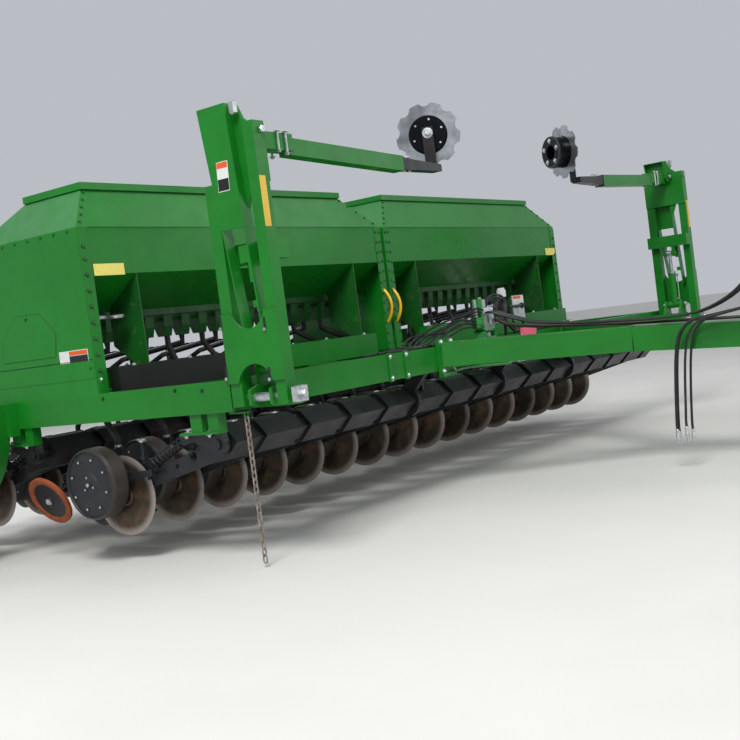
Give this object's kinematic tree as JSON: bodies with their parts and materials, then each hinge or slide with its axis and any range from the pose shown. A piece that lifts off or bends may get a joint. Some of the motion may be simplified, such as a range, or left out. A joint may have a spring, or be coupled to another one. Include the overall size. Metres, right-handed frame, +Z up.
{
  "type": "seed drill",
  "caption": "Towed no-till seed drill with paired grain boxes, staggered single-disc openers in two ranks, end wheels and folding row markers.",
  "frame": {"origin": "centre of the machine's footprint box on the floor", "axes": "+Z up, the front of the machine faces -Y, its right-hand side is at -X"},
  "size_m": [6.78, 5.9599, 2.5226],
  "materials": {
    "green": "satin",
    "black_paint": "satin",
    "steel": "zinc plated",
    "blade_steel": "worn and lightly rusted",
    "rubber": "matt",
    "tyre": "matt",
    "rust": "rusted",
    "yellow": "gloss",
    "black_plastic": "matt",
    "spring_steel": "satin"
  },
  "bodies": {
    "frame": {"front_beam": "green", "rear_beams": "green", "long_beams": "green", "shaft_hangers": "green", "shaft_bearings": "black_paint", "box_sills": "green", "hopper_right": "green", "hopper_left": "green", "box_roofs": "green", "box_ends": "green", "box_dividers": "green", "feed_cups": "green", "seed_tubes_front": "black_plastic", "seed_tubes_rear": "black_plastic", "tongue": "green", "hitch": "green", "jack_tube": "black_paint", "wheel_arms": "green", "marker_bases": "green", "lift_cylinders": "black_paint", "valve_block": "steel", "walkboard": "black_paint", "grab_handles": "yellow", "chain": "steel", "hose_1": "rubber", "hose_2": "rubber", "hose_3": "rubber", "hose_4": "rubber", "hose_couplers": "steel"},
    "wheel_right": {"tyre_right": "tyre", "rim_right": "yellow"},
    "wheel_left": {"tyre_left": "tyre", "rim_left": "yellow"},
    "jack_leg": {"jack_leg": "steel"},
    "lid_right": {"lid_right": "green"},
    "lid_left": {"lid_left": "green"},
    "openers_front": {"rockshaft_front": "black_paint", "opener_arms_front": "black_paint", "springs_front": "spring_steel", "blades_front": "blade_steel", "gauge_wheels_front": "rubber", "closing_wheels_front": "rust"},
    "lift_rod_front": {"lift_rod_front": "steel"},
    "openers_rear": {"rockshaft_rear": "black_paint", "opener_arms_rear": "black_paint", "springs_rear": "spring_steel", "blades_rear": "blade_steel", "gauge_wheels_rear": "rubber", "closing_wheels_rear": "rust"},
    "lift_rod_rear": {"lift_rod_rear": "steel"},
    "marker_arm_right": {"marker_arm_right": "green"},
    "marker_tip_right": {"marker_tip_right": "green"},
    "marker_disc_right": {"marker_disc_right": "blade_steel"},
    "marker_cylinder_right": {"marker_cylinder_right": "green"},
    "marker_rod_right": {"marker_rod_right": "steel"},
    "marker_arm_left": {"marker_arm_left": "green"},
    "marker_tip_left": {"marker_tip_left": "green"},
    "marker_disc_left": {"marker_disc_left": "blade_steel"},
    "marker_cylinder_left": {"marker_cylinder_left": "green"},
    "marker_rod_left": {"marker_rod_left": "steel"}
  },
  "joints": [
    {"name": "wheel_right_turn", "type": "hinge", "parent": "frame", "child": "wheel_right", "pos_m": [-3.25, 2.05, 0.38], "axis": [1, 0, 0], "continuous": true},
    {"name": "wheel_left_turn", "type": "hinge", "parent": "frame", "child": "wheel_left", "pos_m": [3.25, 2.05, 0.38], "axis": [1, 0, 0], "continuous": true},
    {"name": "jack_travel", "type": "slide", "parent": "frame", "child": "jack_leg", "axis": [0, 0, 1], "range_m": [0, 0.35]},
    {"name": "marker_right_fold", "type": "hinge", "parent": "frame", "child": "marker_arm_right", "pos_m": [-2.905, -0.4925, 0.87], "axis": [0, -1, 0], "range_deg": [0, 90]},
    {"name": "marker_right_unfold", "type": "hinge", "parent": "marker_arm_right", "child": "marker_tip_right", "pos_m": [-2.825, -0.4925, 2.172], "axis": [0, -1, 0], "range_deg": [0, 90]},
    {"name": "marker_right_disc_turn", "type": "hinge", "parent": "marker_tip_right", "child": "marker_disc_right", "pos_m": [-0.97, -0.4275, 2.321], "axis": [0.866, 0.5, 0], "continuous": true},
    {"name": "marker_right_cylinder_swing", "type": "hinge", "parent": "frame", "child": "marker_cylinder_right", "pos_m": [-2.83, -0.4925, 1.01], "axis": [0, -1, 0], "range_deg": [0, 96]},
    {"name": "marker_right_rod_travel", "type": "slide", "parent": "marker_cylinder_right", "child": "marker_rod_right", "axis": [0, 0, 1], "range_m": [0, 0.22]},
    {"name": "marker_left_fold", "type": "hinge", "parent": "frame", "child": "marker_arm_left", "pos_m": [2.905, -0.4925, 0.87], "axis": [0, 1, 0], "range_deg": [0, 90]},
    {"name": "marker_left_unfold", "type": "hinge", "parent": "marker_arm_left", "child": "marker_tip_left", "pos_m": [2.825, -0.4925, 2.172], "axis": [0, 1, 0], "range_deg": [0, 90]},
    {"name": "marker_left_disc_turn", "type": "hinge", "parent": "marker_tip_left", "child": "marker_disc_left", "pos_m": [0.97, -0.4275, 2.321], "axis": [0.866, -0.5, 0], "continuous": true},
    {"name": "marker_left_cylinder_swing", "type": "hinge", "parent": "frame", "child": "marker_cylinder_left", "pos_m": [2.83, -0.4925, 1.01], "axis": [0, 1, 0], "range_deg": [0, 96]},
    {"name": "marker_left_rod_travel", "type": "slide", "parent": "marker_cylinder_left", "child": "marker_rod_left", "axis": [0, 0, 1], "range_m": [0, 0.22]},
    {"name": "lid_right_open", "type": "hinge", "parent": "frame", "child": "lid_right", "pos_m": [-1.5, 1.298, 2.142], "axis": [-1, 0, 0], "range_deg": [0, 95]},
    {"name": "lid_left_open", "type": "hinge", "parent": "frame", "child": "lid_left", "pos_m": [1.5, 1.298, 2.142], "axis": [-1, 0, 0], "range_deg": [0, 95]},
    {"name": "openers_front_lower", "type": "hinge", "parent": "frame", "child": "openers_front", "pos_m": [0, -0.13, 0.645], "axis": [-1, 0, 0], "range_deg": [0, 8.5], "deforming": ["seed_tubes_front"]},
    {"name": "lift_rod_front_travel", "type": "slide", "parent": "frame", "child": "lift_rod_front", "axis": [0, 1, 0], "range_m": [0, 0.036]},
    {"name": "openers_rear_lower", "type": "hinge", "parent": "frame", "child": "openers_rear", "pos_m": [0, 1.4, 0.645], "axis": [-1, 0, 0], "range_deg": [0, 8.5], "deforming": ["seed_tubes_rear"]},
    {"name": "lift_rod_rear_travel", "type": "slide", "parent": "frame", "child": "lift_rod_rear", "axis": [0, 1, 0], "range_m": [0, 0.036]}
  ],
  "couplings": [
    {"joint": "marker_right_cylinder_swing", "follows": "marker_right_fold", "ratio": 1.06},
    {"joint": "marker_right_rod_travel", "follows": "marker_right_fold", "m_per_rad": 0.139},
    {"joint": "marker_left_cylinder_swing", "follows": "marker_left_fold", "ratio": 1.06},
    {"joint": "marker_left_rod_travel", "follows": "marker_left_fold", "m_per_rad": 0.139},
    {"joint": "lift_rod_front_travel", "follows": "openers_front_lower", "m_per_rad": 0.23},
    {"joint": "lift_rod_rear_travel", "follows": "openers_rear_lower", "m_per_rad": 0.23}
  ]
}
